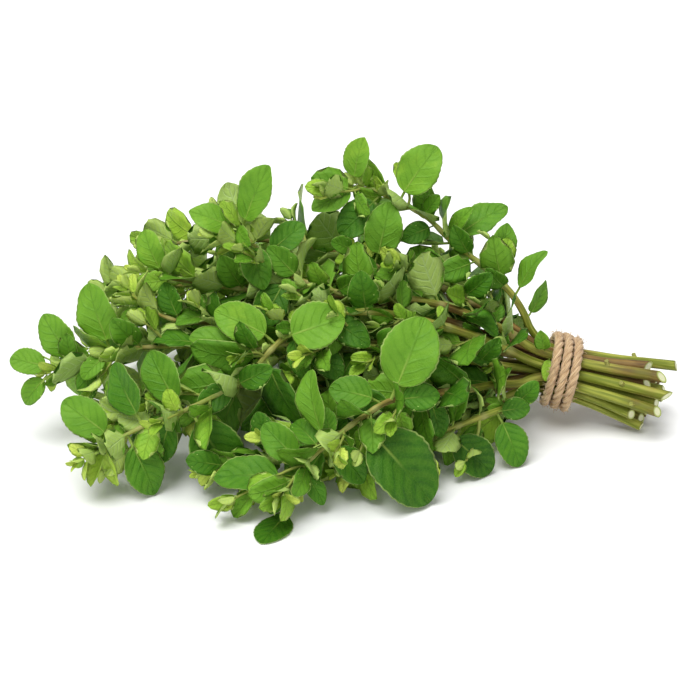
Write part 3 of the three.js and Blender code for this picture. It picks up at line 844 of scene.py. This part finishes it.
crowd = Crowd()
for sprig, stem in stems.items():
    for part in np.array_split(np.arange(0, STEM_STEPS, 4), 4):
        part = np.append(part, min(part[-1] + 4, STEM_STEPS - 1))
        crowd.put(*tube(stem["line"][part], stem["girth"][part]), sprig)
for points, shape in placed:
    crowd.put(points, blade_of(shape), "big leaf")


# %% [markdown]
# ## Side leaves that show
# These grown leaves show from the front, so they are listed one by one: on which sprig, how far along it, from
# base to tip in millimetres, which way the face looks, how old, and how wide. They have a finer skin than the
# rest.

# %% Side leaves
SIDE_LEAVES = [
    ("sprig_01", 0.76, (-11, -3, -4), (0, -8, 5), 0.3, 0.66),
    ("sprig_01", 0.43, (6, 4, 12), (6, -7, 3), 0.45, 0.5),
    ("sprig_01", 0.80, (5, -2, 8), (-3, -8, 3), 0.45, 0.6),
    ("sprig_01", 0.64, (-6, -2, 12), (-2, -9, 2), 0.3, 0.6),
    ("sprig_01", 0.72, (8, -1, 11), (-5, -7, 4), 0.55, 0.45),
    ("sprig_01", 0.52, (-7, -5, 9), (-3, -8, 4), 0.35, 0.6),
    ("sprig_02", 0.50, (-9, 6, 10), (-2, -8, 5), 0.3, 0.62),
    ("sprig_02", 0.62, (9, -4, 10), (2, -8, 4), 0.28, 0.6),
    ("sprig_02", 0.70, (-6, -2, 13), (-2, -9, 3), 0.42, 0.6),
    ("sprig_02", 0.98, (-8, -5, 6), (-2, -7, 6), 0.35, 0.6),
    ("sprig_03", 0.96, (-9, 3, 6), (0, -5, 9), 0.35, 0.7),
    ("sprig_03", 0.44, (13, -5, -9), (1, -8, 5), 0.3, 0.85),
    ("sprig_03", 0.25, (-2, -2, 9), (-2, -9, 2), 0.6, 0.62),
    ("sprig_03", 0.24, (-1, -2, -9), (2, -9, 1), 0.75, 0.5),
    ("sprig_03", 0.86, (-10, -6, -2), (-2, -7, 6), 0.5, 0.6),
    ("sprig_03", 0.78, (-12, -3, 9), (-3, -7, 5), 0.4, 0.66),
    ("sprig_03", 0.70, (8, -6, 8), (2, -8, 5), 0.4, 0.6),
    ("sprig_03", 0.62, (-11, -7, 5), (-1, -8, 6), 0.25, 0.64),
    ("sprig_04", 0.85, (-6, -5, -16), (-3, -9, 3), 0.2, 0.6),
    ("sprig_04", 0.50, (-10, -8, 12), (-2, -8, 4), 0.3, 0.66),
    ("sprig_04", 0.56, (13, -8, -6), (1, -8, 5), 0.22, 0.64),
    ("sprig_04", 0.74, (12, -3, 8), (2, -8, 4), 0.3, 0.62),
    ("sprig_04", 0.74, (-12, -5, -7), (-2, -8, 5), 0.25, 0.64),
    ("sprig_04", 0.62, (4, -7, -14), (1, -9, 3), 0.3, 0.5),
    ("sprig_05", 0.69, (14, 1, 1), (1, -8, 5), 0.3, 0.72),
    ("sprig_05", 0.89, (-14, 5, 6), (-1, -7, 6), 0.35, 0.66),
    ("sprig_05", 0.87, (11, -3, -13), (3, -8, 4), 0.3, 0.62),
    ("sprig_05", 0.95, (7, -5, -10), (4, -8, 3), 0.3, 0.5),
    ("sprig_05", 0.86, (-12, 4, 9), (-2, -8, 4), 0.4, 0.6),
    ("sprig_05", 0.97, (-12, -6, -7), (-2, -6, 7), 0.3, 0.62),
    ("sprig_05", 0.94, (-5, -9, -8), (0, -6, 7), 0.45, 0.6),
    ("sprig_05", 0.60, (4, -4, -13), (1, -9, 2), 0.2, 0.6),
    ("sprig_06", 0.50, (11, 1, 1), (1, -8, 6), 0.2, 0.72),
    ("sprig_06", 0.64, (5, 1, 17), (-6, -7, 2), 0.4, 0.45),
    ("sprig_06", 0.42, (7, -3, 10), (2, -8, 4), 0.3, 0.6),
    ("sprig_06", 0.78, (-8, -5, 12), (-2, -8, 4), 0.2, 0.62),
    ("sprig_07", 0.85, (-13, -2, -6), (-1, -8, 5), 0.12, 0.66),
    ("sprig_07", 0.84, (-6, 3, 14), (-2, -8, 3), 0.22, 0.6),
    ("sprig_07", 0.74, (8, -6, 12), (2, -8, 4), 0.15, 0.62),
    ("sprig_07", 0.95, (-12, -5, 5), (-1, -8, 5), 0.25, 0.62),
    ("sprig_08", 1.00, (-8, -2, -10), (-3, -8, 4), 0.5, 0.62),
    ("sprig_08", 0.94, (1, -5, -12), (1, -9, 4), 0.35, 0.6),
    ("sprig_08", 0.90, (-8, -6, -6), (-1, -7, 6), 0.5, 0.6),
    ("sprig_08", 0.84, (-9, -4, 12), (-2, -8, 4), 0.4, 0.62),
    ("sprig_09", 0.88, (-1, -6, -14), (-1, -9, 4), 0.45, 0.62),
    ("sprig_09", 0.93, (-12, -5, 3), (-1, -7, 7), 0.65, 0.6),
    ("sprig_09", 0.80, (-7, -4, 14), (-2, -8, 4), 0.4, 0.62),
    ("sprig_10", 0.88, (-5, 4, 12), (-3, -9, 3), 0.25, 0.66),
    ("sprig_10", 0.94, (-10, -6, -3), (-1, -7, 7), 0.6, 0.6),
    ("sprig_10", 0.82, (4, -7, -13), (1, -8, 4), 0.3, 0.62),
    ("sprig_11", 0.93, (-20, 2, 4), (1, -4, 9), 0.5, 0.5),
    ("sprig_11", 0.95, (-9, -4, -11), (-2, -9, 4), 0.5, 0.62),
    ("sprig_11", 0.80, (10, -8, -9), (2, -8, 4), 0.2, 0.64),
    ("sprig_11", 0.66, (9, -7, 8), (1, -8, 5), 0.35, 0.6),
    ("sprig_11", 0.42, (6, -3, 10), (2, -8, 3), 0.3, 0.62),
    ("sprig_16", 0.60, (6, -9, 11), (1, -8, 4), 0.1, 0.62),
]


def try_leaf(shape, spot, along, face, owner, friends, tries, chance, shrink=0.97, sway=0.3):
    """Turns and shrinks a leaf at a spot (place, direction and girth of its stem) until it has room."""
    origin, tangent, girth = spot
    along, face = np.asarray(along, float), unit(face)
    size = np.linalg.norm(along)
    first = direction = along / size
    for attempt in range(tries):
        out = direction + 0.3 * face
        out = unit(out - (out @ tangent) * tangent)
        base = origin + 0.6 * girth * out
        points = place_leaf(shape, base, direction, face, size)
        if points[:, 2].min() > 0.0003 and crowd.has_room(points, blade_of(shape), friends):
            crowd.put(points, blade_of(shape), owner)
            return {"base": base, "along": direction, "face": axes(direction, face)[:, 2], "size": size}, points
        direction = unit(first + chance.normal(0, sway, 3))
        face = unit(face + chance.normal(0, sway, 3))
        size *= shrink
    return None


def spot_on(stem, share):
    k = int(round(min(share, 1.0) * (STEM_STEPS - 1)))
    return stem["line"][k], stem["tangent"][k], stem["girth"][k]


chance = np.random.default_rng(11)
shown = {}
for number, (sprig, share, tip, face, tone, wide) in enumerate(SIDE_LEAVES):
    shape = leaf_shape(14, 9, wide=wide, fold=chance.uniform(0.15, 0.4), curl=chance.uniform(0, 0.08),
        twist=chance.uniform(-0.4, 0.4), wave=0.025, swell=0.014, seed=200 + number)
    found = try_leaf(shape, spot_on(stems[sprig], share), np.array(tip) * MM, face, "side leaf", (sprig,), 20,
        chance)
    if found:
        shown.setdefault(sprig, []).append((shape, found[1], tone))
for sprig, leaves in shown.items():
    keep(leaf_mesh(f"{sprig}_side_leaves", leaves), "leaf")
print(sum(map(len, shown.values())), "of", len(SIDE_LEAVES), "side leaves found room")


# %% [markdown]
# ## The small leaves
# The rest follow the plant's own rule. At each joint two leaves stand out opposite each other and lean towards
# the tip, more so near the top; in each angle there may be a shoot of tiny leaves. Every stem ends in a tuft.
# Six plain shapes are enough for them, because what differs is their turn, size and tone.

# %% Shapes of the small leaves
small_shapes = [
    leaf_shape(6, 5, wide=0.68, fold=0.2, arch=0.05, curl=0.05, swell=0.01, seed=31),
    leaf_shape(6, 5, wide=0.62, fold=0.35, arch=0.09, curl=0.08, twist=0.3, swell=0.01, seed=32),
    leaf_shape(6, 5, wide=0.72, fold=0.12, arch=0.03, curl=0.1, twist=-0.25, swell=0.01, seed=33),
    leaf_shape(6, 5, wide=0.55, fold=0.6, arch=-0.03, curl=-0.04, swell=0.01, seed=34),
    leaf_shape(6, 5, wide=0.56, fold=0.3, arch=0.02, curl=0.0, swell=0.01, stalk=0.03, thick=0.03, seed=35),
    leaf_shape(6, 5, wide=0.62, fold=0.2, arch=0.05, curl=0.05, swell=0.01, stalk=0.03, thick=0.03, seed=36),
]
GROWN, YOUNG = (0, 1, 2, 3), (4, 5)


def plain_mesh(shape, name):
    piece = leaf_mesh(name, [(shape, shape["points"], 0.5)])
    mesh = piece.data
    mesh.attributes.remove(mesh.attributes["tone"])
    bpy.data.objects.remove(piece)
    return mesh


leaf_shapes = shape_collection("small leaves",
    [plain_mesh(shape, f"small leaf {k}") for k, shape in enumerate(small_shapes)])
print(len(small_shapes), "shapes of", len(small_shapes[0]["faces"]), "faces")


# %% Growing them
def outward(place):
    """Away from the middle of the bunch, and a little up: the side that leaves turn to."""
    return unit(unit([0.0, place[1] + 0.004, place[2] - 0.028]) + [0.0, 0.0, 0.55])


grown_rows = {sprig: [] for sprig in stems}
grown_shoots = {sprig: [] for sprig in stems}


def bear(sprig, spot, angle, lean, size, tone, kinds, tries, chance):
    origin, tangent, _ = spot
    first = unit(np.cross(tangent, [0.0, 0.0, 1.0]) + 1e-6)
    out = math.cos(angle) * first + math.sin(angle) * np.cross(tangent, first)
    along = out * math.cos(lean) + tangent * math.sin(lean)
    face = tangent * math.cos(lean) - out * math.sin(lean) + 0.8 * outward(origin + along * size * MM)
    kind = int(chance.choice(kinds))
    owner = f"{sprig} tuft" if kinds == YOUNG else "leaf"
    found = try_leaf(small_shapes[kind], spot, along * size * MM, face, owner, (sprig, f"{sprig} tuft"), tries,
        chance)
    if found:
        grown_rows[sprig].append({**found[0], "tone": float(np.clip(tone + chance.normal(0, 0.11), 0, 1)),
            "kind": kind})


def side_shoot(sprig, spot, reach, age, chance, sizes=(11.0, 9.5, 7.0)):
    """A short side stem that ends at reach millimetres from its spot, with three pairs of leaves."""
    origin, tangent, _ = spot
    reach = np.asarray(reach, float)
    line = through([origin, origin + (0.45 * reach - 1.5 * tangent * np.sign(reach @ tangent)) * MM,
        origin + reach * MM], 9)
    if line[:, 2].min() < 2 * MM:
        return
    grown_shoots[sprig].append(line)
    turn = chance.uniform(0, math.tau)
    for k, size in zip((4, 6, 8), sizes):
        here = (line[k], unit(line[k] - line[k - 1]), 0.4 * MM)
        for half in (0, 1):
            bear(sprig, here, turn + k * math.pi / 4 + half * math.pi + chance.normal(0, 0.2),
                math.radians(30 + 5 * k),
                 size * chance.uniform(0.85, 1.2), age + 0.03 * k, GROWN if k < 8 else YOUNG, 8, chance)


# Three side shoots that show are placed near the ends of the two sprigs that bear them.
chance = np.random.default_rng(41)
for sprig, share, reach in (("sprig_05", 0.93, (-23, -9, -8)), ("sprig_05", 0.96, (-5, -12, -1)),
    ("sprig_01", 0.97, (-9, -6, 1))):
    side_shoot(sprig, spot_on(stems[sprig], share), reach, 0.45, chance, sizes=(14.0, 13.0, 10.0))
    end = stems[sprig]["line"][int(share * (STEM_STEPS - 1))] + np.array(reach) * MM
    for pair in range(2):
        for half in (0, 1):
            bear(sprig, (end, unit(reach), 0.4 * MM), 0.8 + pair * math.pi / 2 + half * math.pi,
                math.radians(55 + 10 * pair), 8 - 3 * pair, 0.9, YOUNG, 6, chance)

# The leaf pairs of every sprig come first, then the tufts at the tips, then what fills the angles.
for number, (sprig, stem) in enumerate(stems.items()):
    chance = np.random.default_rng(500 + number)
    for order, share in enumerate(stem["joints"]):
        left = (1 - share) * stem["length"] / MM
        grown = np.interp(left, [5, 20, 60, 120], [12, 18, 23, 20])
        age = np.interp(left, [5, 25, 70, 140], [0.7, 0.52, 0.38, 0.28])
        for half in (0, 1):
            angle = stem["turn"] + order * math.pi / 2 + half * math.pi + chance.normal(0, 0.15)
            lean = math.radians(np.interp(left, [5, 40, 120], [55, 35, 25]) + chance.normal(0, 8))
            bear(sprig, spot_on(stem, share), angle, lean, grown * chance.uniform(0.8, 1.1), age, GROWN, 34,
                chance)
print(sum(map(len, grown_rows.values())), "leaves in pairs")

for number, (sprig, stem) in enumerate(stems.items()):
    chance = np.random.default_rng(700 + number)
    for pair in range(6):
        share = 1 - (0.2 + 2.2 * (5 - pair)) * MM / stem["length"]
        for half in (0, 1):
            angle = stem["turn"] + pair * math.pi / 2 + half * math.pi + chance.normal(0, 0.2)
            bear(sprig, spot_on(stem, share), angle, math.radians([2, 12, 26, 42, 56, 70][pair]),
                 [15, 13.5, 11.5, 9, 6.5, 4.5][pair] * chance.uniform(0.9, 1.1),
                 [0.55, 0.64, 0.74, 0.84, 0.92, 0.97][pair], YOUNG, 10, chance)

for number, (sprig, stem) in enumerate(stems.items()):
    chance = np.random.default_rng(900 + number)
    for order, share in enumerate(stem["joints"]):
        left = (1 - share) * stem["length"] / MM
        age = np.interp(left, [5, 25, 70, 140], [0.75, 0.58, 0.45, 0.36])
        for half in (0, 1):
            angle = stem["turn"] + order * math.pi / 2 + half * math.pi + chance.normal(0, 0.4)
            if chance.uniform() < 0.4 and left > 18:
                origin, tangent, _ = spot_on(stem, share)
                first = unit(np.cross(tangent, [0.0, 0.0, 1.0]) + 1e-6)
                out = math.cos(angle) * first + math.sin(angle) * np.cross(tangent, first)
                reach = (0.9 * out + 0.8 * tangent + 0.2 * outward(origin)) * chance.uniform(7, 12)
                side_shoot(sprig, spot_on(stem, share + 0.003), reach, age, chance)
            elif chance.uniform() < 0.4:
                for tiny in range(int(chance.integers(2, 4))):
                    bear(sprig, spot_on(stem, share + 0.004 * tiny), angle + chance.normal(0, 0.7),
                        math.radians(chance.uniform(25, 75)),
                         chance.uniform(5, 9), age + 0.22, YOUNG, 3, chance)


# %% Small leaves and shoots as pieces
total = 0
for sprig in stems:
    rows, shoots = grown_rows[sprig], grown_shoots[sprig]
    total += len(rows)
    if shoots:
        lines = path_mesh(f"{sprig} shoots", np.concatenate(shoots),
            girth=np.tile(np.linspace(0.55, 0.38, 9) * MM, len(shoots)),
                          along=0.9, joint=0.0, flush=0.1)
        cut = bmesh.new()
        cut.from_mesh(lines)
        cut.edges.ensure_lookup_table()
        bmesh.ops.delete(cut, geom=[cut.edges[9 * k + 8] for k in range(len(shoots) - 1)], context="EDGES")
        cut.to_mesh(lines)
        cut.free()
        keep(made_by(STEM_SWEEP, lines, f"{sprig}_side_shoots", Sides=6, Squareness=0.07, Turns_a_metre=9.0,
            Material=STEM), "stem")
    piece = made_by(SCATTER, point_mesh(f"{sprig} small leaves", rows), f"{sprig}_small_leaves",
        Shapes=leaf_shapes, Material=LEAF)
    keep(piece, "leaf")
print(total, "small leaves")


# %% [markdown]
# ## The twine
# Three yarns are laid round each other, a full turn every 9 mm. Geometry Nodes copy the twine's line three
# times, wind the copies round it and sweep a round section along each; then short bent fibres are set on the
# surface. The turns follow the solid's ring: its middle, its thin direction and its reach are measured from it.

# %% Twine tree
def twine_tree():
    tree, given, output = geometry_tree("laid twine", Yarn_radius="Float", Lay_radius="Float",
        Lay_length="Float", Fibre_length="Float",
                                        Fibre_density="Float", Seed="Int", Material="Material")
    curve = add(tree, "GeometryNodeMeshToCurve", {"Mesh": given.outputs["Geometry"]})
    copies = add(tree, "GeometryNodeDuplicateElements", {"Geometry": curve, "Amount": 3}, domain="SPLINE")
    length = add(tree, "GeometryNodeSplineParameter").outputs["Length"]
    angle = maths(tree, "MULTIPLY", maths(tree, "DIVIDE", length, given.outputs["Lay length"]), math.tau)
    angle = maths(tree, "ADD", angle, maths(tree, "MULTIPLY", copies.outputs["Duplicate Index"], math.tau / 3))
    normal = add(tree, "GeometryNodeInputNormal").outputs["Normal"]
    tangent = add(tree, "GeometryNodeInputTangent").outputs[0]
    binormal = add(tree, "ShaderNodeVectorMath", {0: tangent, 1: normal}, operation="CROSS_PRODUCT")
    part = add(tree, "ShaderNodeVectorMath", {0: normal, "Scale": maths(tree, "COSINE", angle)},
        operation="SCALE")
    other = add(tree, "ShaderNodeVectorMath", {0: binormal, "Scale": maths(tree, "SINE", angle)},
        operation="SCALE")
    out = add(tree, "ShaderNodeVectorMath", {0: part, 1: other}, operation="ADD")
    out = add(tree, "ShaderNodeVectorMath", {0: out, "Scale": given.outputs["Lay radius"]}, operation="SCALE")
    wound = store(tree, copies.outputs["Geometry"], "along", length)
    wound = add(tree, "GeometryNodeSetPosition", {"Geometry": wound, "Offset": out})
    circle = add(tree, "GeometryNodeCurvePrimitiveCircle",
        {"Resolution": 8, "Radius": given.outputs["Yarn radius"]})
    circle = store(tree, circle, "around", add(tree, "GeometryNodeSplineParameter").outputs["Factor"])
    yarns = add(tree, "GeometryNodeCurveToMesh", {"Curve": wound, "Profile Curve": circle, "Fill Caps": True})

    spots = add(tree, "GeometryNodeDistributePointsOnFaces",
        {"Mesh": yarns, "Density": given.outputs["Fibre density"], "Seed": given.outputs["Seed"]})
    tilt = add(tree, "FunctionNodeRandomValue",
        {0: (-1.1, -1.1, -3.1), 1: (1.1, 1.1, 3.1), "Seed": given.outputs["Seed"]}, data_type="FLOAT_VECTOR")
    tilt = add(tree, "FunctionNodeEulerToRotation", {0: tilt.outputs[0]})
    turn = add(tree, "FunctionNodeRotateRotation", {0: spots.outputs["Rotation"], 1: tilt},
        rotation_space="LOCAL")
    arc = add(tree, "GeometryNodeCurveQuadraticBezier",
        {"Resolution": 4, "Start": (0, 0, -0.1), "Middle": (0, 0, 0.5), "End": (0.45, 0, 0.9)})
    long = add(tree, "ShaderNodeVectorMath",
        {0: add(tree, "GeometryNodeInputPosition"), "Scale": given.outputs["Fibre length"]}, operation="SCALE")
    arc = add(tree, "GeometryNodeSetPosition", {"Geometry": arc, "Position": long})
    hair = add(tree, "GeometryNodeCurveToMesh",
        {"Curve": arc, "Profile Curve": add(tree, "GeometryNodeCurvePrimitiveCircle",
        {"Resolution": 3, "Radius": 0.075 * MM}), "Fill Caps": True})
    grown = add(tree, "FunctionNodeRandomValue", {2: 0.4, 3: 1.2, "Seed": given.outputs["Seed"]},
        data_type="FLOAT")
    fibres = add(tree, "GeometryNodeInstanceOnPoints",
        {"Points": spots.outputs["Points"], "Instance": hair, "Rotation": turn, "Scale": grown.outputs[1]})
    both = add(tree, "GeometryNodeJoinGeometry")
    tree.links.new(fibres.outputs[0], both.inputs[0])
    tree.links.new(yarns.outputs[0], both.inputs[0])
    finish_tree(tree, output, both, given.outputs["Material"])
    return tree


TWINE_LAY = twine_tree()
TWINE_RADIUS = 1.6 * MM
laid = dict(Yarn_radius=0.56 * TWINE_RADIUS, Lay_radius=0.46 * TWINE_RADIUS, Lay_length=9 * MM,
    Fibre_length=1.5 * MM, Seed=3, Material=TWINE)

# %% The three turns
ring_points = solid("twine_turns")[0]
ring_middle = ring_points.mean(0)
thin = np.linalg.svd(ring_points - ring_middle)[2][2]
thin = thin * np.sign(thin[0])
back = unit(np.array([0.0, 1.0, 0.0]) - thin[1] * thin)
over = np.cross(thin, back)
offsets = ring_points - ring_middle
reach = np.linalg.norm(offsets - np.outer(offsets @ thin, thin), axis=1)
ring_radius = (reach.max() + reach.min()) / 2
spread = np.ptp(offsets @ thin) - 2 * TWINE_RADIUS
slant = math.radians(9)  # the turns were pulled tight at a slant
thin_now = math.cos(slant) * thin - math.sin(slant) * unit(np.cross(thin, back))
over_now = math.cos(slant) * over + math.sin(slant) * thin * np.sign(over @ unit(np.cross(thin, back)))
share = np.linspace(0, 1, 260)[:, None]
angle = math.tau * 3 * share
turns_line = (
    ring_middle + thin_now * (share - 0.5) * spread
    + ring_radius * (back * np.cos(angle) + over_now * np.sin(angle))
)
turns = made_by(TWINE_LAY, path_mesh("turns", turns_line), "twine_three_turns", Fibre_density=0.3e6, **laid)
keep(turns, "twine", "twine_turns")
print("the turns are", round(2 * ring_radius / MM, 1), "mm across and have", len(turns.data.polygons), "faces")

# %% The knot and its two ends
low, high = map(np.array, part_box("twine_knot"))
knot_middle = (low + high) / 2
loop = 3.4 * MM
u = np.linspace(0, math.tau, 160)[:-1, None]
wide = loop * (2 + np.cos(1.5 * 2 * u)) * 0.5
knot_line = (
    knot_middle + over * wide * np.cos(2 * u) + thin * wide * np.sin(2 * u)
    + back * loop * np.sin(3 * u) * 0.5
)
knot_line = np.vstack([knot_line, knot_line[:2]])
knot = made_by(TWINE_LAY, path_mesh("knot", knot_line), "twine_fine_knot", Fibre_density=0.3e6, **laid)
keep(knot, "twine", "twine_knot")
ends = []
for side, drop in ((1, 15), (-1, 12)):
    start = knot_middle + side * 3 * MM * thin
    route = [start, start + (side * 3 * thin + 2.5 * back - 1 * over) * MM,
        start + (side * 6 * thin + 4 * back) * MM + np.array([0, 0, -0.35 * drop]) * MM,
             start + (side * 7 * thin + 4.2 * back) * MM + np.array([0, 0, -drop]) * MM]
    ends.append(made_by(TWINE_LAY, path_mesh("end", through(route, 40)), f"twine_end_{1 if side > 0 else 2}",
        Fibre_density=0.9e6, **{**laid, "Lay_length": 12 * MM}))
    keep(ends[-1], "twine")
print("the knot and ends have", sum(len(e.data.polygons) for e in (knot, *ends)), "faces")


# %% [markdown]
# ## The floor, the light and the camera
# A pale floor, one broad light and two soft panels, with the camera a little above the bunch and square to its
# side.

# %% Studio
def aim(thing, target):
    thing.rotation_euler = (Vector(target) - thing.location).to_track_quat("-Z", "Y").to_euler()


def panel(name, place, size, watts):
    light = bpy.data.lights.new(name, "AREA")
    light.shape, light.size, light.energy = "DISK", size, watts
    lamp = bpy.data.objects.new(name, light)
    bpy.context.scene.collection.objects.link(lamp)
    lamp.location = place
    aim(lamp, (0, 0, 0.03))


panel("panel_front", (0.5, -1.1, 0.6), 0.9, 1.5)
panel("panel_back", (0.1, 0.9, 0.8), 0.7, 2)

# The main light is far away and broad, so that it falls evenly on the whole floor.
main_light = bpy.data.lights.new("broad_light", "SUN")
main_light.energy, main_light.angle = 2.85, math.radians(40)
lamp = bpy.data.objects.new("broad_light", main_light)
bpy.context.scene.collection.objects.link(lamp)
lamp.location = (-0.25, -0.3, 1.0)
aim(lamp, (0, 0, 0.03))

world = bpy.data.worlds.new("studio")
world.use_nodes = True
world.node_tree.nodes["Background"].inputs[0].default_value = linear("#ffffff")
world.node_tree.nodes["Background"].inputs[1].default_value = 0.42
bpy.context.scene.world = world
bpy.context.scene.view_settings.view_transform = "Standard"

bpy.ops.mesh.primitive_plane_add(size=8, location=(0, 0, 0))
floor = bpy.context.object
floor.name = "floor"
paper, _, paper_shader = new_material("studio paper, matt white", Roughness=0.9)
paper_shader.inputs["Base Color"].default_value = linear("#f7f7f7")
floor.data.materials.append(paper)

camera = bpy.data.objects.new("camera", bpy.data.cameras.new("camera"))
bpy.context.scene.collection.objects.link(camera)
camera.data.lens, camera.data.sensor_width = 120, 36
look_at = Vector((0.0009, -0.0104, 0.035))
rise = math.radians(27)
camera.location = look_at + 0.773 * Vector((0, -math.cos(rise), math.sin(rise)))
aim(camera, look_at)
bpy.context.scene.camera = camera
